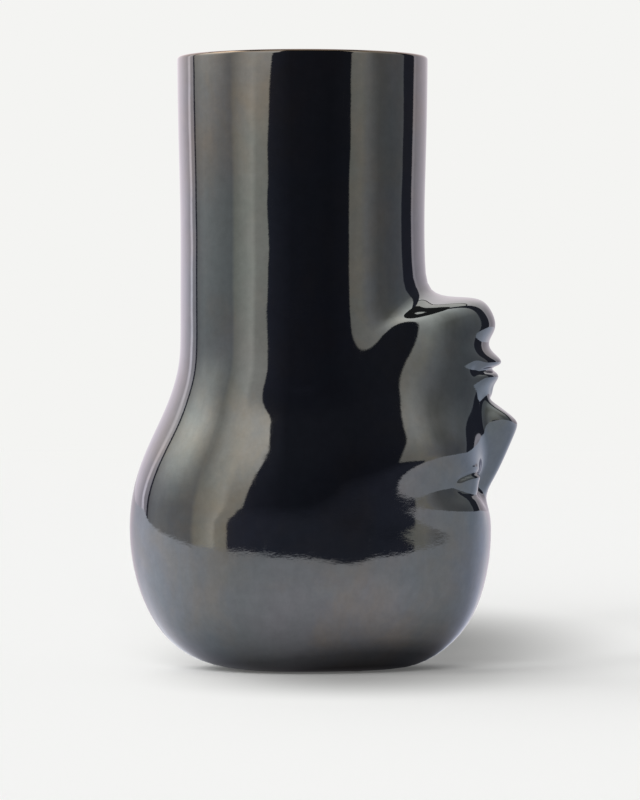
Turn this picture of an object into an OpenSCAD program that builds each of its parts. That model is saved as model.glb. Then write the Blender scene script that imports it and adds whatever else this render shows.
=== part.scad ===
// Long-neck vase shaped as an upside-down head: the crown is the foot and the neck is the mouth.
// The face looks along +X. It is a plain one, on the proportions that drawing books give.

/* [Vase] */
// Height of the whole vase, foot to rim
vase_h = 373.5; // [350:0.5:420]
// Outer radius at the rim
rim_r = 76.4; // [70:0.1:80]
// Outer radius at the neck's waist
waist_r = 73.7; // [66:0.1:76]

/* [Head] */
// Height of the head, crown to chin
head_h = 224; // [205:1:240]
// Width of the head across its widest level
head_w = 172; // [164:1:184]
// Reach of the face's plane from the neck's axis
face_reach = 115; // [108:1:122]
// Reach of the back of the head from the neck's axis
back_reach = 104.5; // [98:0.5:112]
// How far the tip of the nose stands out of the face's plane
nose_h = 21; // [14:1:23]

/* [Ceramic] */
// Thickness of the wall, glazes included
wall_t = 7; // [6:0.5:8]
// Thickness of each coat of glaze
coat_t = 0.6; // [0.4:0.1:0.8]
// Height of the rim's rounded edge
lip_h = 2.5; // [2:0.5:4]
// Depth that the dark glaze reaches down inside the rim
lap_h = 6; // [4:1:12]

/* [Foot] */
// Height that the pads hold the foot off the table
foot_lift = 1; // [0.5:0.5:2]
// Depth of the hollow under the foot
recess_h = 2; // [1:0.5:3]
// Diameter of a felt pad
pad_d = 12; // [8:1:12]

/* [Hidden] */

glaze_dark = "#2b3133";
glaze_clear = "#5a554c";
clay_buff = "#b9ab95";
felt_black = "#26241f";

neck_h = vase_h - head_h;
half_w = head_w / 2;
// A face has three equal parts: hairline to brow, brow to nose, nose to chin
third = head_h / 3.5;
// Width over which the head and the neck melt into each other
melt = 6;

// Level rings of the head without its features, from the crown up to the throat.
// Heights at the face and at the back in heads, then the reach to the front, side and back
head_shares = [
    [0.000, 0.000, 0.46, 0.50, 0.33],
    [0.000, 0.000, 0.56, 0.64, 0.45],
    [0.028, 0.028, 0.712, 0.78, 0.675],
    [0.111, 0.111, 0.892, 0.92, 0.865],
    [0.237, 0.237, 0.98, 0.99, 0.98],
    [0.371, 0.371, 1.01, 1.01, 1.02],
    [0.500, 0.500, 0.98, 0.99, 0.99],
    [0.625, 0.607, 0.97, 0.94, 0.90],
    [0.750, 0.700, 0.97, 0.88, 0.80],
    [0.862, 0.775, 0.98, 0.83, 0.72],
    [0.951, 0.835, 0.98, 0.78, 0.64],
    [1.009, 0.880, 0.96, 0.74, 0.60],
    [1.007, 0.920, 0.79, 0.72, 0.58],
    [1.018, 0.965, 0.63, 0.70, 0.58],
    [1.095, 1.040, 0.56, 0.70, 0.58]];
// Index of the first ring that the neck shows through
nape = 9;
// Round rings of the neck: height in necks above the chin, then the radius from waist to rim
neck_shares = [[0.37, 0.2], [0.68, 0.8], [0.96, 1.0]];
// Rows of cells from each ring to the next, more of them where the face is
rows_between = [1, 2, 2, 2, 3, 4, 4, 4, 5, 4, 4, 3, 2, 1, 1, 1, 1];
inner_rows_between = [1, 1, 1, 1, 2, 2, 2, 2, 2, 2, 2, 1, 1, 1, 1, 1, 1];
sides = 52;
// Share by which the columns crowd towards the face
crowd = 0.62;

// Soft bumps and hollows of the face, all in thirds: how far from the middle, height above
// the crown, breadth, tallness, and how far the bump stands out
feature_shares = [
    [0.52, 1.545, 0.24, 0.100, 0.052],  // brows
    [0.00, 1.640, 0.16, 0.110, -0.035], // dip above the nose
    [0.47, 1.765, 0.23, 0.155, -0.125], // eye sockets
    [0.25, 1.730, 0.10, 0.120, -0.055], // inner corners of the eyes
    [0.48, 1.790, 0.155, 0.115, 0.120], // closed eyes
    [0.20, 2.400, 0.075, 0.085, 0.085], // wings of the nose
    [0.00, 2.800, 0.39, 0.270, 0.070],  // round of the mouth
    [0.10, 2.768, 0.17, 0.046, 0.046],  // upper lip
    [0.00, 2.912, 0.19, 0.058, 0.074],  // lower lip
    [0.00, 2.840, 0.22, 0.026, -0.040], // line between the lips
    [0.00, 3.090, 0.28, 0.075, -0.050], // fold over the chin
    [0.00, 3.280, 0.26, 0.140, 0.065],  // chin
    [0.72, 2.050, 0.27, 0.230, 0.065],  // cheekbones
    [0.69, 2.700, 0.22, 0.230, -0.035], // hollows of the cheeks
    [1.06, 1.440, 0.25, 0.280, -0.040]]; // temples
// The nose in thirds: heights where its bridge starts, its tip stands out and its underside ends
bridge_share = 1.60;
tip_share = 2.34;
nose_end_share = 2.555;
// Half breadths of the nose at its bridge and at its tip
nose_spread_shares = [0.105, 0.16];

function bell(x, spread) = exp(-x * x / (2 * spread * spread));
function clamp01(x) = min(max(x, 0), 1);
function ease(x) = let (t = clamp01(x)) t * t * (3 - 2 * t);
function soft_max(a, b, width) = (a + b + sqrt((a - b) * (a - b) + width * width)) / 2;
function soft_min(a, b, width) = -soft_max(-a, -b, width);
function unit(v) = v / norm(v);

// The four weights of a smooth curve that is drawn through the neighbourhood of its rings
function spline(f) = [pow(1 - f, 3), 3 * pow(f, 3) - 6 * f * f + 4,
    3 * f * (1 + f - f * f) + 1, pow(f, 3)] / 6;

head_rings = [for (s = head_shares)
    [foot_lift + s[0] * head_h, foot_lift + s[1] * head_h, s[2] * face_reach, s[3] * half_w,
        s[4] * back_reach]];
neck_rings = [for (s = neck_shares)
    let (z = foot_lift + head_h + s[0] * neck_h, r = waist_r + s[1] * (rim_r - waist_r))
    [z, z, r, r, r]];
rings = concat(head_rings, neck_rings);
ring_count = len(rings);

// An upside-down head's ring at one angle: its radius and its height
function ring_radius(k, a) = let (
        ring = rings[k],
        lean = cos(a) * (3 - cos(a) * cos(a)) / 2,
        reach = (ring[2] + ring[4]) / 2 + (ring[2] - ring[4]) / 2 * lean,
        oval = 1 / sqrt(pow(cos(a) / reach, 2) + pow(sin(a) / ring[3], 2)))
    k >= nape && k < len(head_rings) ? soft_max(waist_r, oval, melt) : oval;
function ring_height(k, a) = rings[k][1] + (rings[k][0] - rings[k][1]) * pow(max(0, cos(a)), 3);

angles = [for (j = [0:sides - 1])
    let (t = 360 * j / sides) t - crowd * sin(t) * 180 / PI];
radii = [for (k = [0:ring_count - 1]) [for (a = angles) ring_radius(k, a)]];
heights = [for (k = [0:ring_count - 1]) [for (a = angles) ring_height(k, a)]];

function at(table, k, j) = table[min(max(k, 0), ring_count - 1)][j];
function along(table, u, j) = let (k = floor(u), w = spline(u - k))
    w[0] * at(table, k - 1, j) + w[1] * at(table, k, j)
        + w[2] * at(table, k + 1, j) + w[3] * at(table, k + 2, j);

// The nose is a ramp from between the eyes to its tip, and a steeper one under it
function nose(across, up) = let (
        bridge = (up - bridge_share) / (tip_share - bridge_share),
        underside = (nose_end_share - up) / (nose_end_share - tip_share),
        round_tip = soft_min(bridge, underside, 0.30),
        spread = nose_spread_shares[0]
            + (nose_spread_shares[1] - nose_spread_shares[0]) * ease(bridge))
    nose_h * soft_max(round_tip, 0, 0.09) * bell(across, spread);
function face(y, z) = let (across = abs(y) / third, up = (z - foot_lift) / third,
        bumps = [for (s = feature_shares) s[4] * bell(across - s[0], s[2]) * bell(up - s[1], s[3])])
    nose(across, up) + third * bumps * [for (b = bumps) 1];
// The wall's inside follows the hollows of the face and leaves its bumps solid
function hollows(d) = (d - sqrt(d * d + 4)) / 2;

function skin_point(u, j, inside) = let (
        a = angles[j],
        r = along(radii, u, j),
        z = along(heights, u, j),
        d = cos(a) > 0 ? face(r * sin(a), z) * ease(3 * cos(a)) : 0,
        shown = r + (inside ? hollows(d) : d))
    [shown * cos(a), shown * sin(a), z];
function skin_row(u, inside) = [for (j = [0:sides - 1]) skin_point(u, j, inside)];

// Every row's outward direction, from its neighbours up, down and to both sides
function outward(rows, i, j) = let (
        up = rows[min(i + 1, len(rows) - 1)][j] - rows[max(i - 1, 0)][j],
        round = rows[i][(j + 1) % sides] - rows[i][(j + sides - 1) % sides])
    unit(cross(round, up));
function inset(rows, depth) = [for (i = [0:len(rows) - 1])
    [for (j = [0:sides - 1]) rows[i][j] - depth * outward(rows, i, j)]];

// The glazed surface in one piece: foot line, outside, lip, inside, middle of the floor
function places(counts) = [for (k = [0:len(counts) - 1]) for (i = [0:counts[k] - 1])
    k + i / counts[k]];
outside = [for (u = places(rows_between)) skin_row(u, false)];
lip_mid = rim_r - wall_t / 2;
function round_row(r, z) = [for (a = angles) [r * cos(a), r * sin(a), z]];
lip_angles = [15, 50, 90, 130, 165];
lip = concat(
    [round_row(rim_r, vase_h - 2 * lip_h)],
    [for (a = lip_angles)
        round_row(lip_mid + wall_t / 2 * cos(a), vase_h - lip_h * (1 - sin(a)))],
    [round_row(rim_r - wall_t, vase_h - lip_h - lap_h)]);
down = places(inner_rows_between);
inside = inset([for (i = [0:len(down) - 1]) skin_row(down[i], true)], wall_t);
inside_down = [for (i = [len(inside) - 1:-1:0]) inside[i]];
glazed = concat(outside, lip, inside_down);
// Row where the dark glaze ends and the clear one starts
lap_row = len(outside) + len(lip) - 1;
last_row = len(glazed) - 1;
bisque = inset(glazed, coat_t);
floor_z = foot_lift + wall_t;

// The origin is on the floor, midway between the nose's tip and the back of the head
reaches = [for (row = outside) for (p = row) p.x];
neck_x = -(max(reaches) + min(reaches)) / 2;

// A ring of the foot, as a share of the foot line's own size
function foot_row(share, z) = [for (p = outside[0])
    [foot_x + share * (p.x - foot_x), share * p.y, z]];
foot_x = (outside[0][0].x + outside[0][sides / 2].x) / 2;
foot_shares = [0.87, 0.85];
// Each pad's column of the foot line, and how far out it sits towards that line
pad_columns = [10, 21, 31, 42];
pad_share = 0.68;

function flat(rows) = [for (row = rows) each row];
function rows_of(table, first, last) = [for (i = [first:last]) table[i]];
// Two triangles for each cell between two rings, given by the numbers of their first points
function cells(low, high) = [for (j = [0:sides - 1])
    let (next = (j + 1) % sides)
    each [[low + j, high + next, low + next], [low + j, high + j, high + next]]];
function bands(first, count) = [for (i = [0:count - 2])
    each cells(first + i * sides, first + (i + 1) * sides)];
// A fan that closes a ring at its middle point
function fan(ring, middle) = [for (j = [0:sides - 1]) [ring + (j + 1) % sides, ring + j, middle]];
function turned(faces) = [for (f = faces) [f[2], f[1], f[0]]];

module clay_body() {
    rows = concat(
        [foot_row(foot_shares[1], foot_lift + recess_h), foot_row(foot_shares[0], foot_lift),
            outside[0]],
        bisque);
    n = len(rows) * sides;
    color(clay_buff)
    translate([neck_x, 0, 0])
    polyhedron(
        points = concat(flat(rows),
            [[foot_x, 0, foot_lift + recess_h], [foot_x, 0, floor_z - coat_t]]),
        faces = concat(turned(fan(0, n)), bands(0, len(rows)), fan(n - sides, n + 1)));
}

module outer_glaze() {
    count = lap_row + 1;
    n = count * sides;
    color(glaze_dark)
    translate([neck_x, 0, 0])
    polyhedron(
        points = concat(flat(rows_of(glazed, 0, lap_row)), flat(rows_of(bisque, 0, lap_row))),
        faces = concat(
            bands(0, count), turned(bands(n, count)),
            turned(cells(0, n)), cells(n - sides, 2 * n - sides)));
}

module inner_glaze() {
    count = last_row - lap_row + 1;
    n = count * sides;
    color(glaze_clear)
    translate([neck_x, 0, 0])
    polyhedron(
        points = concat(
            flat(rows_of(glazed, lap_row, last_row)), flat(rows_of(bisque, lap_row, last_row)),
            [[foot_x, 0, floor_z], [foot_x, 0, floor_z - coat_t]]),
        faces = concat(
            bands(0, count), turned(bands(n, count)), turned(cells(0, n)),
            fan(n - sides, 2 * n), turned(fan(2 * n - sides, 2 * n + 1))));
}

module felt_pad(k) {
    spot = foot_row(pad_share, 0)[pad_columns[k - 1]];
    color(felt_black)
    translate([neck_x + spot.x, spot.y, 0])
    cylinder(d = pad_d, h = foot_lift + recess_h, $fn = 48);
}

clay_body();
outer_glaze();
inner_glaze();
felt_pad(1);  // felt_pad_1
felt_pad(2);  // felt_pad_2
felt_pad(3);  // felt_pad_3
felt_pad(4);  // felt_pad_4
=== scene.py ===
import math

import bpy
import numpy as np
from mathutils import Matrix, Vector


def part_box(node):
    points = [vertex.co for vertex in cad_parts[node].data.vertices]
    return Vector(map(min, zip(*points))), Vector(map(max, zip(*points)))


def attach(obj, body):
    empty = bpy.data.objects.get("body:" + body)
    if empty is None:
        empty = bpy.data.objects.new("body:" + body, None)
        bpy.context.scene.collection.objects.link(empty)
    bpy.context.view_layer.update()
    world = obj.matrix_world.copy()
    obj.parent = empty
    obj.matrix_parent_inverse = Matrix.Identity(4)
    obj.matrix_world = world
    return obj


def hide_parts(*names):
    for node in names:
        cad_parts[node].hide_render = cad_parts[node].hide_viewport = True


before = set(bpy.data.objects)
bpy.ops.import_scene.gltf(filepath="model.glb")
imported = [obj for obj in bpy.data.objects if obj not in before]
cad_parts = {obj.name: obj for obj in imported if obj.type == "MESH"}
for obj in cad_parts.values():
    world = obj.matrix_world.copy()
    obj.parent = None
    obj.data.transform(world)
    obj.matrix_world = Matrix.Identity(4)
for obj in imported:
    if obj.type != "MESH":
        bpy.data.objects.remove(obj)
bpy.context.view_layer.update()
bpy.ops.object.select_all(action="DESELECT")


# Clay body. One hollow casting in stoneware slip, poured into a mould of an upside-down
# head: the crown is flattened for a foot and the neck is the mouth of the vase. The seams
# are fettled off, a shallow hollow is turned under the foot, and the foot ring stays bare.
MM = 0.001
head_h = 0.224
third = head_h / 3.5
half_w = 0.086
face_reach = 0.115
back_reach = 0.1045
nose_h = 0.021
waist_r = 0.0737
rim_r = 0.0764
wall_t = 0.007
coat_t = 0.0006
lip_h = 0.0025
lap_h = 0.006
recess_h = 0.002
melt = 0.006
cast_softness = 0.002
glaze_low, glaze_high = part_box("outer_glaze")
foot_z = glaze_low.z
rim_z = glaze_high.z
neck_h = rim_z - head_h

# Level rings of the mould from the crown up to the throat: heights at the face and at the
# back in heads, then the reach to the front, side and back
head_shares = [
    (0.000, 0.000, 0.46, 0.50, 0.33),
    (0.000, 0.000, 0.56, 0.64, 0.45),
    (0.028, 0.028, 0.712, 0.78, 0.675),
    (0.111, 0.111, 0.892, 0.92, 0.865),
    (0.237, 0.237, 0.98, 0.99, 0.98),
    (0.371, 0.371, 1.01, 1.01, 1.02),
    (0.500, 0.500, 0.98, 0.99, 0.99),
    (0.625, 0.607, 0.97, 0.94, 0.90),
    (0.750, 0.700, 0.97, 0.88, 0.80),
    (0.862, 0.775, 0.98, 0.83, 0.72),
    (0.951, 0.835, 0.98, 0.78, 0.64),
    (1.009, 0.880, 0.96, 0.74, 0.60),
    (1.007, 0.920, 0.79, 0.72, 0.58),
    (1.018, 0.965, 0.63, 0.70, 0.58),
    (1.095, 1.040, 0.56, 0.70, 0.58)]
nape = 9
# Round rings of the neck: height in necks above the chin, radius from waist to rim
neck_shares = [(0.37, 0.2), (0.68, 0.8), (0.96, 1.0)]

# Bumps and hollows of a plain drawing-book face, in thirds of it: how far from the middle,
# height above the crown, breadth, tallness, and how far each stands out
feature_shares = [
    (0.52, 1.545, 0.24, 0.100, 0.052),   # brows
    (0.00, 1.640, 0.16, 0.110, -0.035),  # dip above the nose
    (0.47, 1.765, 0.23, 0.155, -0.125),  # eye sockets
    (0.25, 1.730, 0.10, 0.120, -0.055),  # inner corners of the eyes
    (0.48, 1.790, 0.155, 0.115, 0.120),  # closed eyes
    (0.20, 2.400, 0.075, 0.085, 0.085),  # wings of the nose
    (0.00, 2.800, 0.39, 0.270, 0.070),   # round of the mouth
    (0.10, 2.768, 0.17, 0.046, 0.046),   # upper lip
    (0.00, 2.912, 0.19, 0.058, 0.074),   # lower lip
    (0.00, 2.840, 0.22, 0.026, -0.040),  # line between the lips
    (0.00, 3.090, 0.28, 0.075, -0.050),  # fold over the chin
    (0.00, 3.280, 0.26, 0.140, 0.065),   # chin
    (0.72, 2.050, 0.27, 0.230, 0.065),   # cheekbones
    (0.69, 2.700, 0.22, 0.230, -0.035),  # hollows of the cheeks
    (1.06, 1.440, 0.25, 0.280, -0.040)]  # temples
bridge_share = 1.60
tip_share = 2.34
nose_end_share = 2.555


def bell(x, spread):
    return np.exp(-(x / spread) ** 2 / 2)


def ease(x):
    t = np.clip(x, 0, 1)
    return t * t * (3 - 2 * t)


def soft_max(a, b, width):
    return (a + b + np.sqrt((a - b) ** 2 + width ** 2)) / 2


def mould_ring(z_face, z_back, front, side, back, angle, shows_neck):
    """One ring of the mould: its radius and its height at each angle round the neck."""
    lean = np.cos(angle) * (3 - np.cos(angle) ** 2) / 2
    reach = (front + back) / 2 + (front - back) / 2 * lean
    radius = 1 / np.sqrt((np.cos(angle) / reach) ** 2 + (np.sin(angle) / side) ** 2)
    if shows_neck:
        radius = soft_max(waist_r, radius, melt)
    return radius, z_back + (z_face - z_back) * np.maximum(0, np.cos(angle)) ** 3


def mould_rings(angle):
    rings = []
    for k, (z_face, z_back, front, side, back) in enumerate(head_shares):
        rings.append(mould_ring(
            foot_z + z_face * head_h, foot_z + z_back * head_h,
            front * face_reach, side * half_w, back * back_reach, angle, k >= nape))
    for height, widening in neck_shares:
        z = foot_z + head_h + height * neck_h
        r = waist_r + widening * (rim_r - waist_r)
        rings.append(mould_ring(z, z, r, r, r, angle, False))
    rings = [rings[0]] + rings + [rings[-1]]
    return np.array([ring[0] for ring in rings]), np.array([ring[1] for ring in rings])


def drawn_through(rings, u):
    """The smooth curve that a loft draws up the mould through its rings."""
    k = np.floor(u).astype(int)
    f = (u - k)[:, None]
    return ((1 - f) ** 3 * rings[k] + (3 * f ** 3 - 6 * f ** 2 + 4) * rings[k + 1]
            + (3 * f * (1 + f - f * f) + 1) * rings[k + 2] + f ** 3 * rings[k + 3]) / 6


def nose(across, up):
    bridge = (up - bridge_share) / (tip_share - bridge_share)
    underside = (nose_end_share - up) / (nose_end_share - tip_share)
    round_tip = -soft_max(-bridge, -underside, 0.30)
    spread = 0.105 + 0.055 * ease(bridge)
    return nose_h * soft_max(round_tip, 0, 0.09) * bell(across, spread)


def carving(across, up):
    """What the modeller cuts last: lids, nostrils, mouth line and its corners, in thirds."""
    lid = (across - 0.48) / 0.25
    lash_line = up - (1.865 - 0.065 * lid ** 2)
    lid_crease = up - (1.655 + 0.06 * lid ** 2)
    lip_line = up - (2.842 + 0.012 * bell(across, 0.09) - 0.03 * (across / 0.4) ** 2)
    on_lid = ease((1.12 - np.abs(lid)) / 0.3)
    return (
        -0.021 * bell(lash_line, 0.016) * on_lid
        + 0.010 * bell(lash_line + 0.04, 0.022) * on_lid
        - 0.014 * bell(lid_crease, 0.020) * ease((1.3 - np.abs(lid)) / 0.5)
        - 0.050 * bell(across - 0.105, 0.045) * bell(up - 2.515, 0.035)
        - 0.022 * bell(across, 0.042) * bell(up - 2.63, 0.055)
        + 0.012 * bell(across - 0.085, 0.035) * bell(up - 2.64, 0.055)
        - 0.030 * bell(lip_line, 0.016) * ease((0.43 - across) / 0.12)
        - 0.024 * bell(across - 0.415, 0.05) * bell(up - 2.825, 0.05)
        - 0.024 * bell(across - 0.315, 0.05) * bell(up - 2.42, 0.10))


def face(y, z):
    across = np.abs(y) / third
    up = (z - foot_z) / third
    relief = sum(
        rise * bell(across - middle, breadth) * bell(up - height, tallness)
        for middle, height, breadth, tallness, rise in feature_shares)
    return nose(across, up) + third * (relief + carving(across, up))


def mould_rows(angle, cells, inside=False):
    """Rows of points up the mould, with so many cells between each ring and the next. The
    inside of the cast follows the face's hollows, and hardly fills what stands out."""
    radii, heights = mould_rings(angle)
    u = np.concatenate([k + np.arange(n) / n for k, n in enumerate(cells)])
    r = drawn_through(radii, u)
    z = drawn_through(heights, u)
    relief = face(r * np.sin(angle), z) * ease(3 * np.cos(angle))
    if inside:
        relief = (relief - np.sqrt(relief ** 2 + cast_softness ** 2)) / 2
    shown = r + relief
    return np.stack([shown * np.cos(angle), shown * np.sin(angle), z], axis=-1)


def round_rows(angle, places):
    return np.stack([
        np.stack([r * np.cos(angle), r * np.sin(angle), z + 0 * angle], axis=-1)
        for r, z in places])


def sunk(rows, depth):
    """The same rows, a depth under the surface that they draw."""
    up = np.gradient(rows, axis=0)
    round_it = np.roll(rows, -1, axis=1) - np.roll(rows, 1, axis=1)
    out = np.cross(round_it, up)
    out /= np.maximum(np.linalg.norm(out, axis=2, keepdims=True), 1e-12)
    return rows - depth * out


def sheet(name, rows):
    """A flat grid of cells, each point of it pulled to its place in the rows."""
    count, columns = rows.shape[:2]
    bpy.ops.mesh.primitive_grid_add(
        x_subdivisions=columns - 1, y_subdivisions=count - 1, size=2, location=(0, 0, 0))
    piece = bpy.context.object
    piece.name = piece.data.name = name
    flat = np.empty(columns * count * 3)
    piece.data.vertices.foreach_get("co", flat)
    flat = flat.reshape(-1, 3)
    column = np.rint((flat[:, 0] + 1) / 2 * (columns - 1)).astype(int)
    row = np.rint((flat[:, 1] + 1) / 2 * (count - 1)).astype(int)
    piece.data.vertices.foreach_set("co", rows[row, column].ravel())
    piece.data.update()
    bpy.ops.object.shade_smooth()
    return piece


def tube(name, rows):
    """A sheet rolled round the neck's axis, its seam closed and its poles drawn to a point."""
    rows = rows + np.array([neck_x, 0, 0])
    piece = sheet(name, np.concatenate([rows, rows[:, :1]], axis=1))
    bpy.ops.object.mode_set(mode="EDIT")
    bpy.ops.mesh.select_all(action="SELECT")
    bpy.ops.mesh.remove_doubles(threshold=0.001 * MM)
    bpy.ops.object.mode_set(mode="OBJECT")
    return piece


def linear(colour):
    """An sRGB hex colour as Blender's linear one."""
    parts = [int(colour[k:k + 2], 16) / 255 for k in (1, 3, 5)]
    return tuple(c / 12.92 if c <= 0.04045 else ((c + 0.055) / 1.055) ** 2.4
                 for c in parts) + (1.0,)


def add(tree, kind, inputs, **settings):
    """Adds a node with its settings. An input is a number or colour, or a socket to link, and
    is numbered where its name isn't its own: a Mix node's 0 is the share of 7 over 6."""
    node = tree.nodes.new(kind)
    for name, value in settings.items():
        setattr(node, name, value)
    for name, value in inputs.items():
        if isinstance(value, bpy.types.NodeSocket):
            tree.links.new(value, node.inputs[name])
        else:
            node.inputs[name].default_value = value
    return node


def new_material(name):
    material = bpy.data.materials.new(name)
    material.use_nodes = True
    material.node_tree.nodes.clear()
    return material


# Columns of cells round the mould, crowded towards the face, and rows of them from each ring
# to the next, most over the features
column_count = 260
crowding = 0.62
columns = np.arange(column_count) * 2 * math.pi / column_count
columns = columns - crowding * np.sin(columns)
head_cells = [2, 3, 4, 7, 9, 22, 22, 22, 21, 16, 11, 7, 4, 3, 5, 6, 5]
outside = mould_rows(columns, head_cells)
neck_x = -(outside[:, :, 0].max() + outside[:, :, 0].min()) / 2
# The lip turns over from the outside to the inside, a little squarer than round
lip_mid = rim_r - wall_t / 2
squareness = 0.7
lip_turn = np.radians([1, 4, 9, 16, 25, 36, 48, 61, 76, 90, 104, 119, 133, 147, 160, 172])
lip = round_rows(columns, [(rim_r, rim_z - 2 * lip_h), (rim_r, rim_z - 1.2 * lip_h)] + [
    (lip_mid + wall_t / 2 * math.copysign(abs(math.cos(a)) ** squareness, math.cos(a)),
     rim_z - lip_h * (1 - math.sin(a) ** squareness)) for a in lip_turn]
    + [(rim_r - wall_t, rim_z - lip_h - lap_h)])
glazed = np.concatenate([outside, lip])

inside_cells = [1, 2, 2, 4, 5, 8, 8, 8, 8, 7, 6, 4, 3, 2, 3, 4, 3]
inside = sunk(mould_rows(columns, inside_cells, inside=True), wall_t)[::-1]
lap_line = lip[-1:]
floor_z = foot_z + wall_t
foot_x = (outside[0, 0, 0] + outside[0, column_count // 2, 0]) / 2


def foot_ring(share, z):
    """A ring of the foot, as a share of the foot line's own size."""
    ring = outside[:1].copy()
    ring[..., 0] = foot_x + share * (ring[..., 0] - foot_x)
    ring[..., 1] *= share
    ring[..., 2] = z
    return ring


# From the middle of the turned hollow out, over its edge and onto the foot ring
foot = np.concatenate([
    foot_ring(share, foot_z + height) for share, height in [
        (0.0, recess_h), (0.45, recess_h), (0.82, recess_h), (0.846, 0.92 * recess_h),
        (0.856, 0.55 * recess_h), (0.862, 0.2 * recess_h), (0.872, 0.04 * recess_h),
        (0.884, 0), (0.95, 0), (0.985, 0)]])
coat_in = sunk(np.concatenate([glazed, inside]), coat_t)
floor_ring = np.concatenate([coat_in[-1:], foot_ring(0.0, floor_z - coat_t)])
clay_body = tube("clay_body_cast", np.concatenate([foot, coat_in, floor_ring]))

# Buff stoneware, bisque fired. To the eye: dry and quite matt, evenly sandy, with fine iron
# specks and a slightly darker toast where the kiln's flame ran over the foot.
fired_clay = new_material("stoneware_buff_fired")
tree = fired_clay.node_tree
place = add(tree, "ShaderNodeTexCoord", {}).outputs["Object"]
# Cloudy toasting, patches 25 mm across
toast = add(tree, "ShaderNodeTexNoise", {
    "Vector": place, "Scale": 1 / 0.025, "Detail": 3, "Roughness": 0.55}).outputs["Fac"]
# Grog grains of 0.6 mm, the coarse end of a casting slip
grains = add(tree, "ShaderNodeTexNoise", {
    "Vector": place, "Scale": 1 / 0.0006, "Detail": 2, "Roughness": 0.6}).outputs["Fac"]
# Iron specks of 0.6 mm, 3 mm apart
specks = add(tree, "ShaderNodeTexVoronoi", {
    "Vector": place, "Scale": 1 / 0.003}).outputs["Distance"]
speck = add(tree, "ShaderNodeMapRange", {
    "Value": specks, "From Min": 0.07, "From Max": 0.13,
    "To Min": 0.75, "To Max": 0.0}).outputs["Result"]
toasted = add(tree, "ShaderNodeMapRange", {
    "Value": toast, "From Min": 0.35, "From Max": 0.7}).outputs["Result"]
clay_colour = add(tree, "ShaderNodeMix", {
    0: toasted, 6: linear("#bfb19b"), 7: linear("#a8957a")}, data_type="RGBA").outputs[2]
clay_colour = add(tree, "ShaderNodeMix", {
    0: grains, 6: clay_colour, 7: linear("#cbbfa9")}, data_type="RGBA").outputs[2]
clay_colour = add(tree, "ShaderNodeMix", {
    0: speck, 6: clay_colour, 7: linear("#5b432f")}, data_type="RGBA").outputs[2]
sandy = add(tree, "ShaderNodeBump", {
    "Height": grains, "Distance": 0.0001, "Strength": 0.8}).outputs["Normal"]
dryness = add(tree, "ShaderNodeMapRange", {
    "Value": toast, "To Min": 0.78, "To Max": 0.92}).outputs["Result"]
shader = add(tree, "ShaderNodeBsdfPrincipled", {
    "Base Color": clay_colour, "Roughness": dryness, "Normal": sandy,
    "IOR": 1.5, "Metallic": 0.0})
add(tree, "ShaderNodeOutputMaterial", {"Surface": shader.outputs["BSDF"]})
clay_body.data.materials.append(fired_clay)
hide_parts("clay_body")
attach(clay_body, "root")


# Outer glaze. A dark glaze with a metal film on it, the film drawn out of the glaze by
# smoke at the end of the firing. The vase is held by its inside and dipped upright, so the
# coat runs from the foot line over the lip and ends just inside, and it flowed as it melted.
outer_glaze = tube("outer_glaze_coat", glazed)
coat = outer_glaze.modifiers.new("coat", "SOLIDIFY")
coat.thickness = coat_t
coat.offset = -1
bpy.ops.object.modifier_apply(modifier="coat")

# Gunmetal lustre glaze over black. To the eye: a dark mirror, which throws back a seventh
# of the light straight on and most of it at the edges, mottled from blue-grey through
# green-grey to tan where the film is thinner, with reflections that waver and fray.
lustre = new_material("glaze_gunmetal_lustre")
tree = lustre.node_tree
place = add(tree, "ShaderNodeTexCoord", {}).outputs["Object"]
# The melt ran down the wall, so its clouds are 45 mm wide and a little taller
run_down = add(tree, "ShaderNodeMapping", {
    "Vector": place, "Scale": (1, 1, 0.8)}).outputs["Vector"]
smoke = add(tree, "ShaderNodeTexNoise", {
    "Vector": run_down, "Scale": 1 / 0.045, "Detail": 5, "Roughness": 0.62,
    "Distortion": 0.5}).outputs["Fac"]
tan_patch = add(tree, "ShaderNodeMapRange", {
    "Value": smoke, "From Min": 0.44, "From Max": 0.66}).outputs["Result"]
# Where the smoke was thickest the film is greener, patches 70 mm across
moved = add(tree, "ShaderNodeMapping", {
    "Vector": place, "Location": (0.31, 0.17, 0.05), "Scale": (1, 1, 0.85)}).outputs["Vector"]
green_smoke = add(tree, "ShaderNodeTexNoise", {
    "Vector": moved, "Scale": 1 / 0.07, "Detail": 4, "Roughness": 0.6}).outputs["Fac"]
green_patch = add(tree, "ShaderNodeMapRange", {
    "Value": green_smoke, "From Min": 0.42, "From Max": 0.68, "To Max": 0.9}).outputs["Result"]
# Brush-fine streaks in the film, 2 mm wide and 80 mm long
streaked = add(tree, "ShaderNodeMapping", {
    "Vector": place, "Scale": (1, 1, 0.025)}).outputs["Vector"]
streaks = add(tree, "ShaderNodeTexNoise", {
    "Vector": streaked, "Scale": 1 / 0.002, "Detail": 3, "Roughness": 0.6}).outputs["Fac"]
film = add(tree, "ShaderNodeMix", {
    0: tan_patch, 6: linear("#696b6e"), 7: linear("#706d69")}, data_type="RGBA").outputs[2]
film = add(tree, "ShaderNodeMix", {
    0: green_patch, 6: film, 7: linear("#656b6d")}, data_type="RGBA").outputs[2]
streak_light = add(tree, "ShaderNodeMapRange", {
    "Value": streaks, "From Min": 0.3, "From Max": 0.7,
    "To Min": 0.985, "To Max": 1.015}).outputs["Result"]
film = add(tree, "ShaderNodeMix", {
    0: 1.0, 6: film, 7: streak_light}, data_type="RGBA", blend_type="MULTIPLY").outputs[2]
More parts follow.
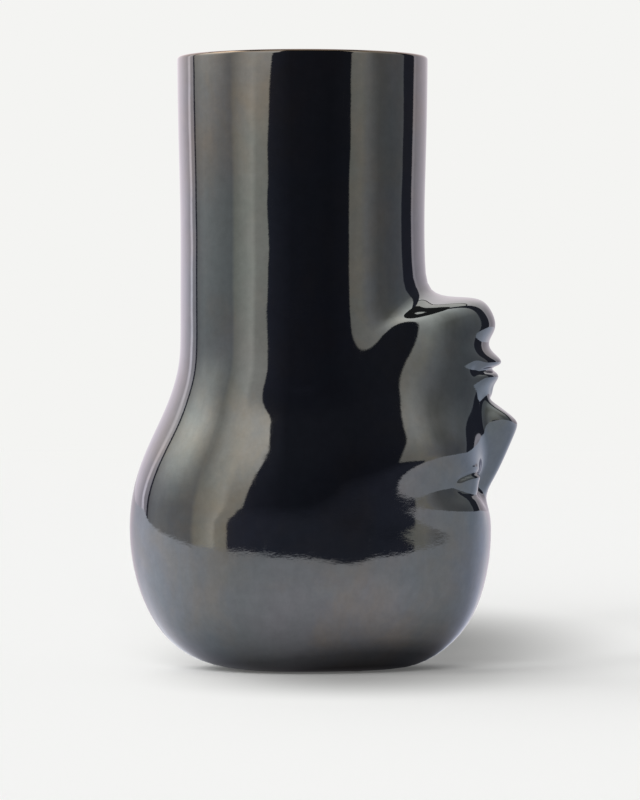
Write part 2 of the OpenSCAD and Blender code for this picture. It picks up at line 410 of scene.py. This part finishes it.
# Fine mottling of 7 mm, even in all directions, as of a web of crystals in the film
mottle = add(tree, "ShaderNodeTexNoise", {
    "Vector": place, "Scale": 1 / 0.007, "Detail": 4, "Roughness": 0.7}).outputs["Fac"]
mottle_light = add(tree, "ShaderNodeMapRange", {
    "Value": mottle, "From Min": 0.3, "From Max": 0.7,
    "To Min": 0.93, "To Max": 1.07}).outputs["Result"]
film = add(tree, "ShaderNodeMix", {
    0: 1.0, 6: film, 7: mottle_light}, data_type="RGBA", blend_type="MULTIPLY").outputs[2]
# The film tans over the top 140 mm, where the flame came in, and breaks brown on the lip
height = add(tree, "ShaderNodeSeparateXYZ", {"Vector": place}).outputs["Z"]
for low, high, burnt in [
        (rim_z - 0.14, rim_z - 0.004, (1.015, 0.96, 0.92, 1.0)),
        (rim_z - 0.0020, rim_z - 0.0010, (0.60, 0.46, 0.34, 1.0))]:
    near_rim = add(tree, "ShaderNodeMapRange", {
        "Value": height, "From Min": low, "From Max": high}).outputs["Result"]
    film = add(tree, "ShaderNodeMix", {
        0: near_rim, 6: film, 7: burnt}, data_type="RGBA", blend_type="MULTIPLY").outputs[2]
# Waves left by the flow, 40 mm apart and a few hundredths of a millimetre high
waves = add(tree, "ShaderNodeTexNoise", {
    "Vector": place, "Scale": 1 / 0.04, "Detail": 1, "Roughness": 0.5}).outputs["Fac"]
# Crystals and pits of 4 mm, lying across the flow, that fray the reflections' edges
across = add(tree, "ShaderNodeMapping", {
    "Vector": place, "Location": (0.7, 0.2, 0.1), "Scale": (0.7, 0.7, 1.5)}).outputs["Vector"]
frost = add(tree, "ShaderNodeTexNoise", {
    "Vector": across, "Scale": 1 / 0.004, "Detail": 4, "Roughness": 0.68}).outputs["Fac"]
flowed = add(tree, "ShaderNodeBump", {
    "Height": waves, "Distance": 0.0003, "Strength": 1.0}).outputs["Normal"]
# The melt lay thickest low on the belly, so the crystals grew most there, under 80 mm
frosty = add(tree, "ShaderNodeMapRange", {
    "Value": height, "From Min": 0.080, "From Max": 0.095,
    "To Min": 1.0, "To Max": 0.4}).outputs["Result"]
frayed = add(tree, "ShaderNodeBump", {
    "Height": frost, "Distance": 0.000035, "Strength": frosty, "Normal": flowed}).outputs["Normal"]
# Smears of 6 mm, drawn down the wall, where the mirror is a little dulled
smeared = add(tree, "ShaderNodeMapping", {
    "Vector": place, "Location": (0.1, 0.5, 0.3), "Scale": (1, 1, 0.12)}).outputs["Vector"]
smear = add(tree, "ShaderNodeTexNoise", {
    "Vector": smeared, "Scale": 1 / 0.006, "Detail": 4, "Roughness": 0.6}).outputs["Fac"]
dull = add(tree, "ShaderNodeMapRange", {
    "Value": smear, "From Min": 0.58, "From Max": 0.74,
    "To Min": 0.0, "To Max": 0.08}).outputs["Result"]
gloss = add(tree, "ShaderNodeMapRange", {
    "Value": smoke, "From Min": 0.3, "From Max": 0.75,
    "To Min": 0.02, "To Max": 0.05}).outputs["Result"]
gloss = add(tree, "ShaderNodeMath", {0: gloss, 1: dull}, operation="ADD").outputs["Value"]
shader = add(tree, "ShaderNodeBsdfPrincipled", {
    "Base Color": film, "Metallic": 1.0, "Roughness": gloss, "Normal": frayed,
    "Specular Tint": linear("#f8f5f9")})
add(tree, "ShaderNodeOutputMaterial", {"Surface": shader.outputs["BSDF"]})
outer_glaze.data.materials.append(lustre)
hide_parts("outer_glaze")
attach(outer_glaze, "root")


# Liner glaze. A plain grey-brown stoneware glaze, swilled round inside and poured out, which
# makes the vase hold water. It meets the outer coat at the lap line under the lip.
liner_rows = np.concatenate([lap_line, inside, foot_ring(0.0, floor_z)])
inner_glaze = tube("inner_glaze_coat", liner_rows)
coat = inner_glaze.modifiers.new("coat", "SOLIDIFY")
coat.thickness = coat_t
coat.offset = -1
bpy.ops.object.modifier_apply(modifier="coat")

# Grey-brown stoneware glaze. To the eye: glossy and a little milky, warmer and thinner on
# the raised places, with iron specks that bled into it.
liner = new_material("glaze_stoneware_liner")
tree = liner.node_tree
place = add(tree, "ShaderNodeTexCoord", {}).outputs["Object"]
# Thick and thin places of the pour, 30 mm across and drawn downwards
poured = add(tree, "ShaderNodeMapping", {
    "Vector": place, "Scale": (1, 1, 0.4)}).outputs["Vector"]
pour = add(tree, "ShaderNodeTexNoise", {
    "Vector": poured, "Scale": 1 / 0.03, "Detail": 4, "Roughness": 0.55}).outputs["Fac"]
# Iron specks of 0.9 mm, 4 mm apart, that bled into it
specks = add(tree, "ShaderNodeTexVoronoi", {
    "Vector": place, "Scale": 1 / 0.004}).outputs["Distance"]
speck = add(tree, "ShaderNodeMapRange", {
    "Value": specks, "From Min": 0.06, "From Max": 0.16,
    "To Min": 0.6, "To Max": 0.0}).outputs["Result"]
liner_colour = add(tree, "ShaderNodeMix", {
    0: pour, 6: linear("#4f4a42"), 7: linear("#6a6355")}, data_type="RGBA").outputs[2]
liner_colour = add(tree, "ShaderNodeMix", {
    0: speck, 6: liner_colour, 7: linear("#2c231b")}, data_type="RGBA").outputs[2]
ripple = add(tree, "ShaderNodeBump", {
    "Height": pour, "Distance": 0.0004, "Strength": 0.6}).outputs["Normal"]
sheen = add(tree, "ShaderNodeMapRange", {
    "Value": pour, "To Min": 0.12, "To Max": 0.26}).outputs["Result"]
shader = add(tree, "ShaderNodeBsdfPrincipled", {
    "Base Color": liner_colour, "Roughness": sheen, "Normal": ripple,
    "IOR": 1.52, "Coat Weight": 0.4, "Coat Roughness": 0.08})
add(tree, "ShaderNodeOutputMaterial", {"Surface": shader.outputs["BSDF"]})
inner_glaze.data.materials.append(liner)
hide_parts("inner_glaze")
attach(inner_glaze, "root")


# Felt pads. Four discs punched from 3 mm wool felt, stuck in the hollow under the foot so
# that the vase doesn't scratch a table. The punch leaves their edges slightly rounded.
felt = new_material("wool_felt_black")
tree = felt.node_tree
place = add(tree, "ShaderNodeTexCoord", {}).outputs["Object"]
# Matted fibres, drawn 0.3 mm wide so that they show
fibres = add(tree, "ShaderNodeTexNoise", {
    "Vector": place, "Scale": 1 / 0.0003, "Detail": 4, "Roughness": 0.7,
    "Distortion": 1.5}).outputs["Fac"]
felt_colour = add(tree, "ShaderNodeMix", {
    0: fibres, 6: linear("#1b1a18"), 7: linear("#3d3a35")}, data_type="RGBA").outputs[2]
matted = add(tree, "ShaderNodeBump", {
    "Height": fibres, "Distance": 0.0002, "Strength": 1.0}).outputs["Normal"]
shader = add(tree, "ShaderNodeBsdfPrincipled", {
    "Base Color": felt_colour, "Roughness": 0.95, "Normal": matted,
    "Sheen Weight": 0.35, "Sheen Roughness": 0.5})
add(tree, "ShaderNodeOutputMaterial", {"Surface": shader.outputs["BSDF"]})

edge_round = 0.5 * MM
low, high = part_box("felt_pad_1")
first_place = (low + high) / 2
bpy.ops.mesh.primitive_cylinder_add(
    vertices=64, radius=(high.x - low.x) / 2, depth=high.z - low.z, location=first_place)
pad = bpy.context.object
bpy.ops.object.transform_apply(location=True, rotation=True, scale=True)
bpy.ops.object.mode_set(mode="EDIT")
bpy.ops.mesh.select_mode(type="EDGE")
bpy.ops.mesh.select_all(action="DESELECT")
bpy.ops.object.mode_set(mode="OBJECT")
for edge in pad.data.edges:
    ends = [pad.data.vertices[v].co.z for v in edge.vertices]
    edge.select = abs(ends[0] - ends[1]) < 0.1 * MM
bpy.ops.object.mode_set(mode="EDIT")
bpy.ops.mesh.bevel(offset=edge_round, segments=3, profile=0.5)
bpy.ops.object.mode_set(mode="OBJECT")
bpy.ops.object.shade_smooth_by_angle(angle=math.radians(40))
pad.data.materials.append(felt)

pads = [pad]
for k in range(2, 5):
    low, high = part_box(f"felt_pad_{k}")
    pads.append(pad.copy())
    pads[-1].data = pad.data.copy()
    pads[-1].data.transform(Matrix.Translation((low + high) / 2 - first_place))
    bpy.context.collection.objects.link(pads[-1])
for k, pad in enumerate(pads, 1):
    pad.name = pad.data.name = f"felt_pad_{k}_disc"
    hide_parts(f"felt_pad_{k}")
    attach(pad, "root")


# Studio. A pale paper sweep under three softboxes. Grey and warm cards round the vase, the
# softboxes over them and a dark room behind the camera are painted light on one glowing sheet,
# which only the glaze sees, so they are painted reflections. The paper seen in the glaze is a
# painted card of its own.
paper = linear("#f4f4f2")
bpy.ops.mesh.primitive_plane_add(size=60, location=(0, 0, 0))
floor = bpy.context.object
floor.name = floor.data.name = "paper_sweep"
sweep = new_material("paper_pale")
tree = sweep.node_tree
place = add(tree, "ShaderNodeTexCoord", {}).outputs["Object"]
# A shadow is painted on the paper in two soft ovals, a long one behind the foot and a short one
# before it, to deepen the shadow that the softboxes cast there. Each with its middle, its reach in
# metres and its darkest tone
painted_shadow = 1.0
for middle, reach, darkest in [
        ((0.056, 0.297), (0.167, 0.640), 0.303), ((0.006, -0.102), (0.120, 0.204), 0.541)]:
    oval = add(tree, "ShaderNodeMapping", {
        "Vector": place, "Location": (-middle[0] / reach[0], -middle[1] / reach[1], 0),
        "Scale": (1 / reach[0], 1 / reach[1], 1)}).outputs["Vector"]
    inwards = add(tree, "ShaderNodeTexGradient", {
        "Vector": oval}, gradient_type="SPHERICAL").outputs["Fac"]
    darker = add(tree, "ShaderNodeMapRange", {
        "Value": inwards, "To Min": 1.0, "To Max": darkest},
        interpolation_type="SMOOTHSTEP").outputs["Result"]
    painted_shadow = add(tree, "ShaderNodeMath", {0: painted_shadow, 1: darker}, operation="MULTIPLY").outputs[0]
paper_with_painted_shadow = add(tree, "ShaderNodeMix", {
    0: 1.0, 6: linear("#f7f7f6"), 7: painted_shadow}, data_type="RGBA", blend_type="MULTIPLY").outputs[2]
lit_paper = add(tree, "ShaderNodeBsdfDiffuse", {"Color": paper_with_painted_shadow})
# For the camera a tenth of the paper shines, so that no shadow on it is quite black. From 2 m
# behind the vase more of it does, and at 8 m it has the backdrop's own light
behind = add(tree, "ShaderNodeSeparateXYZ", {"Vector": place}).outputs["Y"]
share = add(tree, "ShaderNodeMapRange", {
    "Value": behind, "From Min": 2.0, "From Max": 8.0, "To Min": 0.1}).outputs["Result"]
rays = add(tree, "ShaderNodeLightPath", {})
shining = add(tree, "ShaderNodeMath", {
    0: rays.outputs["Is Camera Ray"], 1: share}, operation="MULTIPLY").outputs[0]
glow = add(tree, "ShaderNodeEmission", {"Color": paper, "Strength": 1.0})
shader = add(tree, "ShaderNodeMixShader", {
    0: shining, 1: lit_paper.outputs[0], 2: glow.outputs[0]})
add(tree, "ShaderNodeOutputMaterial", {"Surface": shader.outputs[0]})
floor.data.materials.append(sweep)
floor.visible_glossy = False

# Tints of the cards and of the paper seen in the glaze, as shares of red, green and blue
tints = {
    "black": (0.87, 0.92, 1.28), "blue": (0.96, 0.99, 1.06), "cream": (1.07, 1.02, 0.90),
    "grey": (1.00, 1.00, 1.01), "mauve": (1.02, 0.985, 1.01), "sky": (0.91, 0.99, 1.17),
    "straw": (1.02, 0.995, 0.97), "violet": (1.02, 0.96, 1.03)}
# Each edge or fold of the cards, in degrees to the camera's left (less than 0) and right; how far
# it leans out at the table's level and at 20 degrees up; the light painted on it at eye level, and
# at 20 degrees up where it stands for the softboxes' light, with 1 for white paper; and the tint
card_folds = [
    # white card behind on the left, a strip light standing before it, and a dark gap
    (-180, 0, 0, 0.67, 1.18, "violet"), (-160, 0, 0, 1.15, 1.50, "violet"),
    (-144, 0, 0, 1.46, 1.65, "violet"), (-137, 0, 0, 1.38, 1.65, "violet"),
    (-129, 2, 2, 1.20, 1.50, "violet"),
    (-126.6, 3, 3, 2.30, 2.30, "violet"), (-124.4, 3, 3, 2.30, 2.30, "violet"),
    (-122.8, 3, 3, 0.97, 1.80, "violet"), (-117.4, 1, 0, 0.97, 1.75, "violet"),
    (-116.4, 1, 0, 0.08, 0.10, "black"), (-114.9, 1, 0, 0.08, 0.10, "black"),
    # grey wall on the left, painted lighter above as if lit from there
    (-114, 1, 0, 0.57, 1.45, "grey"), (-108, 0, 0, 0.72, 1.75, "grey"),
    (-102, 0, 0, 0.78, 2.00, "grey"), (-94, 0, 0, 0.70, 2.05, "grey"),
    (-86, 0, 0, 0.63, 1.90, "grey"), (-78, 0, 0, 0.58, 1.40, "grey"),
    (-68, 0, 0, 0.55, 0.82, "grey"),
    # cream card on the left of the camera, with a fold at 47 degrees
    (-65, 0, 1, 0.76, 0.80, "cream"), (-56, -2, 2, 1.03, 1.31, "cream"),
    (-47, -5, 5, 1.32, 1.60, "cream"), (-43, -7, 8, 0.93, 1.66, "cream"),
    (-33, -10, 12, 0.85, 1.69, "cream"),
    # dark room behind the camera
    (-32, -10, 12, 0.09, 0.09, "black"), (-24, -8, 9, 0.07, 0.08, "black"),
    (-10, 0, 0, 0.045, 0.055, "black"), (24, 8, 0, 0.035, 0.045, "black"),
    (42.2, 14.5, 4, 0.045, 0.055, "black"),
    # grey wall on the right, its near end cream
    (43.2, 14.5, 4, 0.57, 0.88, "cream"), (54, 9, 0, 0.62, 0.98, "cream"),
    (61, 6, 0, 0.56, 0.75, "grey"), (67, 3, 0, 0.45, 0.46, "grey"),
    (74, 0, 0, 0.33, 0.37, "grey"), (88, 0, 0, 0.30, 0.47, "blue"),
    (100, 0, 0, 0.34, 0.44, "blue"), (104.4, 0, 0, 0.39, 0.44, "blue"),
    # doorway on the right
    (105.4, 0, 0, 0.08, 0.09, "black"), (121.6, 0, 0, 0.07, 0.09, "black"),
    # white card behind on the right
    (122.6, 0, 0, 0.98, 1.02, "violet"), (125.6, 0, 0, 0.98, 1.02, "violet"),
    (127.6, 0, 0, 0.76, 0.97, "violet"), (144, 0, 0, 0.86, 1.06, "violet"),
    (160, 0, 0, 0.75, 1.12, "violet"), (180, 0, 0, 0.67, 1.18, "violet")]
turn = np.unique(np.concatenate([[fold[0] for fold in card_folds], np.arange(-180, 181, 3)]))


def all_round(folds, column):
    return np.interp(turn, [fold[0] for fold in folds], [fold[column] for fold in folds])


def tint_round(folds, to_straw=()):
    shades = np.array([tints["straw" if fold[-1] in to_straw else fold[-1]] for fold in folds])
    places = [fold[0] for fold in folds]
    return np.stack([np.interp(turn, places, shade) for shade in shades.T], -1)


# Where the paper ends and the cards start: the turn, the distance out and the height
card_hem = [
    (-180, 1.30, 0.150), (-122, 1.30, 0.165), (-118, 1.30, 0.143), (-110, 1.30, 0.090),
    (-102, 1.29, 0.060), (-92, 1.28, 0.020), (-81, 1.19, 0.001), (-68, 0.88, 0.001),
    (-44, 0.84, 0.001), (-35, 0.72, 0.001), (-12, 0.62, 0.001), (0, 0.57, 0.001),
    (11, 0.67, 0.001), (22, 0.94, 0.001), (26, 1.25, 0.020), (34, 1.29, 0.060),
    (45, 1.30, 0.100), (110, 1.30, 0.110), (122, 1.30, 0.150), (180, 1.30, 0.150)]
hem_out, hem_up = all_round(card_hem, 1), all_round(card_hem, 2)
# Light off the paper by turn: far out, nearer the foot, and how far the foot's shade falls
# short of its usual reach
paper_shine = [
    (-180, 0.70, 0.55, 1.00, "grey"), (-150, 0.97, 0.72, 1.00, "violet"),
    (-136, 1.20, 0.95, 1.00, "blue"), (-120, 1.58, 1.45, 1.00, "blue"),
    (-100, 1.55, 1.52, 1.01, "blue"), (-80, 1.31, 1.34, 1.02, "blue"),
    (-60, 1.06, 1.12, 1.04, "blue"), (-40, 0.86, 0.95, 1.07, "grey"),
    (-20, 0.84, 0.97, 1.10, "mauve"), (0, 0.82, 0.96, 1.07, "mauve"),
    (40, 0.88, 1.02, 1.01, "mauve"), (60, 0.82, 0.88, 0.98, "blue"),
    (80, 0.80, 0.81, 0.96, "blue"), (104, 0.79, 0.79, 0.96, "sky"),
    (124, 1.10, 1.00, 0.97, "sky"), (140, 1.27, 1.05, 1.00, "blue"),
    (155, 0.95, 0.75, 1.00, "violet"), (180, 0.70, 0.55, 1.00, "grey")]
far_shine, near_shine, shade_reach = [all_round(paper_shine, k) for k in (1, 2, 3)]
paper_tint = tint_round(paper_shine)
near_out, far_out = 0.15, 0.40
# The foot's own shade on the paper: the distance out and the share of the light left there
foot_shade = [(0.005, 0.01), (0.055, 0.03), (0.070, 0.11), (0.080, 0.27), (0.090, 0.48),
              (0.110, 0.70), (0.150, 0.88), (0.200, 0.95), (0.300, 0.99), (0.500, 1.00)]
shade_out, shade_share = zip(*foot_shade)
is_back = (turn <= -117) | (turn >= 122)
is_dark = (turn >= -32.5) & (turn <= 42.7)
is_gap = ((turn > -117) & (turn < -114.5)) | ((turn > 105) & (turn < 122)) | is_dark
# The left wall, nearest to its softbox, gets most of what spills from them
spill_share = np.where(is_gap, 0, np.where(is_back, 0.4, np.interp(
    turn, [-114, -108, -78, -64], [1.6, 2.3, 1.9, 0.4])))
# The cards stand in a ring, and close over the vase as a dome. Each tier of it, in degrees up from
# eye level: the share of the lean at the table's level, the share of the lean and of the painted
# light at 20 degrees up, and the painted light that stands for what spills there from the
# softboxes
room_r = 1.3
eye_h = 0.2
tiers = [
    (-3, 1, 0, 0), (1.5, 0, 0, 0), (5, 0, 0.12, 0), (8, 0, 0.25, 0), (11, 0, 0.45, 0),
    (14, 0, 0.7, 0), (18, 0, 1, 0), (21, 0, 1, 0.15), (25, 0, 1, 0.6), (31, 0, 1, 1.1),
    (39, 0, 1, 1.8), (46, 0, 1, 2.6), (46.1, 0, 1, 2.6), (47.4, 0, 1, 2.7), (47.5, 0, 1, 2.7),
    (54, 0, 1, 3.4), (59.9, 0, 1, 4.2), (60, 0, 1, 0), (72, 0, 1, 0), (72.1, 0, 1, 0),
    (80, 0, 0, 0), (89.9, 0, 0, 0)]
# Painted glowing on the dome: the softbox behind, over its card, and another over everything. Each
# has a dark frame
back_frame, back_box = 46, 47.5
top_frame, top_box = 60, 72.1
frame_light = 0.06
warm = np.array([1.0, 0.97, 0.88])
back_light, top_light = 1.8 * warm, 2.1 * warm
lean_low, lean_high = all_round(card_folds, 1), all_round(card_folds, 2)
level = all_round(card_folds, 3)[:, None] * tint_round(card_folds)
# Higher up, where the softboxes' light is painted, the cards turn a little warmer, and the grey
# and the cream ones straw
high_tint = tint_round(card_folds, ("grey", "cream")) * np.array([1.02, 1.02, 0.96])
high = all_round(card_folds, 4)[:, None] * high_tint
rows, card_glow = [], []
for out in shade_out:
    heading = np.radians(turn - 90)
    rows.append(np.stack([
        out * np.cos(heading), out * np.sin(heading), 0 * turn + 0.5 * MM], -1))
    shine = near_shine + ease((out - near_out) / (far_out - near_out)) * (far_shine - near_shine)
    shine = shine * np.interp(out * shade_reach, shade_out, shade_share)
    card_glow.append(shine[:, None] * paper_tint)
for step in (0, 2 * MM):
    heading = np.radians(turn + lean_low - 90)
    rows.append(np.stack([
        hem_out * np.cos(heading), hem_out * np.sin(heading), hem_up + step], -1))
card_glow.append(far_shine[:, None] * paper_tint)
# The dark room is a little lighter at its foot
foot_light = 0.045
below = level + np.where(is_dark, foot_light, 0)[:, None] * np.array(tints["black"])
card_glow.append(below)
for rise, low, up, spill in tiers:
    heading = np.radians(turn + low * lean_low + up * lean_high - 90)
    tilt = math.radians(rise)
    rows.append(np.stack([
        room_r * math.cos(tilt) * np.cos(heading), room_r * math.cos(tilt) * np.sin(heading),
        np.maximum(eye_h + room_r * math.sin(tilt), hem_up + 4 * MM)], -1))
    shade = below if low else (1 - up) * level + up * high
    shade = shade + (spill * spill_share)[:, None] * warm
    if rise > back_frame:
        shade = np.where(is_back[:, None], frame_light if rise < back_box else back_light, shade)
    if rise >= top_frame:
        shade = 0 * level + (frame_light if rise < top_box else top_light)
    card_glow.append(shade)
# The ring and the dome are one sheet. The light painted at each of its points makes it glow, and
# only the glaze's reflections show it
cards = sheet("studio_cards_painted_glow", np.stack(rows)[:, ::-1])
card_glow = np.stack(card_glow)[:, ::-1].reshape(-1, 3)
light_map = cards.data.color_attributes.new("light", "FLOAT_COLOR", "POINT")
light_map.data.foreach_set("color", np.concatenate([card_glow, card_glow[:, :1] * 0 + 1], axis=1).ravel())
card = new_material("card_painted_glow")
tree = card.node_tree
painted = add(tree, "ShaderNodeAttribute", {}, attribute_name="light").outputs["Color"]
shader = add(tree, "ShaderNodeEmission", {"Color": painted, "Strength": 1.0})
add(tree, "ShaderNodeOutputMaterial", {"Surface": shader.outputs["Emission"]})
cards.data.materials.append(card)
cards.visible_camera = False
cards.visible_diffuse = False
cards.visible_shadow = False

# Three softboxes: a low one beside the camera, a wide one overhead behind the vase, and one
# on the left. Each with the way it shines, its spread in degrees and its power
for name, shines, spread, power in [
        ("softbox_front", (0.42, 2.60, -1.0), 31, 2.83),
        ("softbox_top", (0.83, -1.04, -1.0), 70, 1.38),
        ("softbox_left", (1.80, 0.88, -1.0), 42, 1.10)]:
    bpy.ops.object.light_add(type="SUN", location=[-2 * along for along in shines])
    softbox = bpy.context.object
    softbox.name = name
    softbox.data.energy = power
    softbox.data.angle = math.radians(spread)
    softbox.rotation_euler = Vector(shines).to_track_quat("-Z", "Y").to_euler()
    softbox.visible_glossy = False
world = bpy.data.worlds.new("studio_air")
bpy.context.scene.world = world
world.use_nodes = True
tree = world.node_tree
tree.nodes.clear()
rays = add(tree, "ShaderNodeLightPath", {})
seen = add(tree, "ShaderNodeMath", {
    0: rays.outputs["Is Camera Ray"], 1: rays.outputs["Is Glossy Ray"]}, operation="MAXIMUM")
seen = add(tree, "ShaderNodeMath", {
    0: seen.outputs[0], 1: rays.outputs["Is Transmission Ray"]}, operation="MAXIMUM")
fill = add(tree, "ShaderNodeBackground", {"Color": linear("#fffffe"), "Strength": 0.234})
pale = add(tree, "ShaderNodeBackground", {"Color": paper, "Strength": 1.0})
air = add(tree, "ShaderNodeMixShader", {
    0: seen.outputs[0], 1: fill.outputs[0], 2: pale.outputs[0]})
add(tree, "ShaderNodeOutputWorld", {"Surface": air.outputs[0]})

# Camera. A long lens on a tripod 3 m away, level with the middle of the vase and aimed a hair
# below level, so that the rim and the foot are both seen nearly edge on.
camera_x = -0.0021
bpy.ops.object.camera_add(location=(camera_x, -3.0, 0.1828))
camera = bpy.context.object
camera.name = "view_camera"
camera.data.sensor_fit = "VERTICAL"
camera.data.sensor_height = 36
camera.data.lens = 221.3
camera.data.clip_end = 100
aim = Vector((camera_x, 0, 0.1641)) - camera.location
camera.rotation_euler = aim.to_track_quat("-Z", "Y").to_euler()
bpy.context.scene.camera = camera
bpy.context.scene.view_settings.view_transform = "Standard"
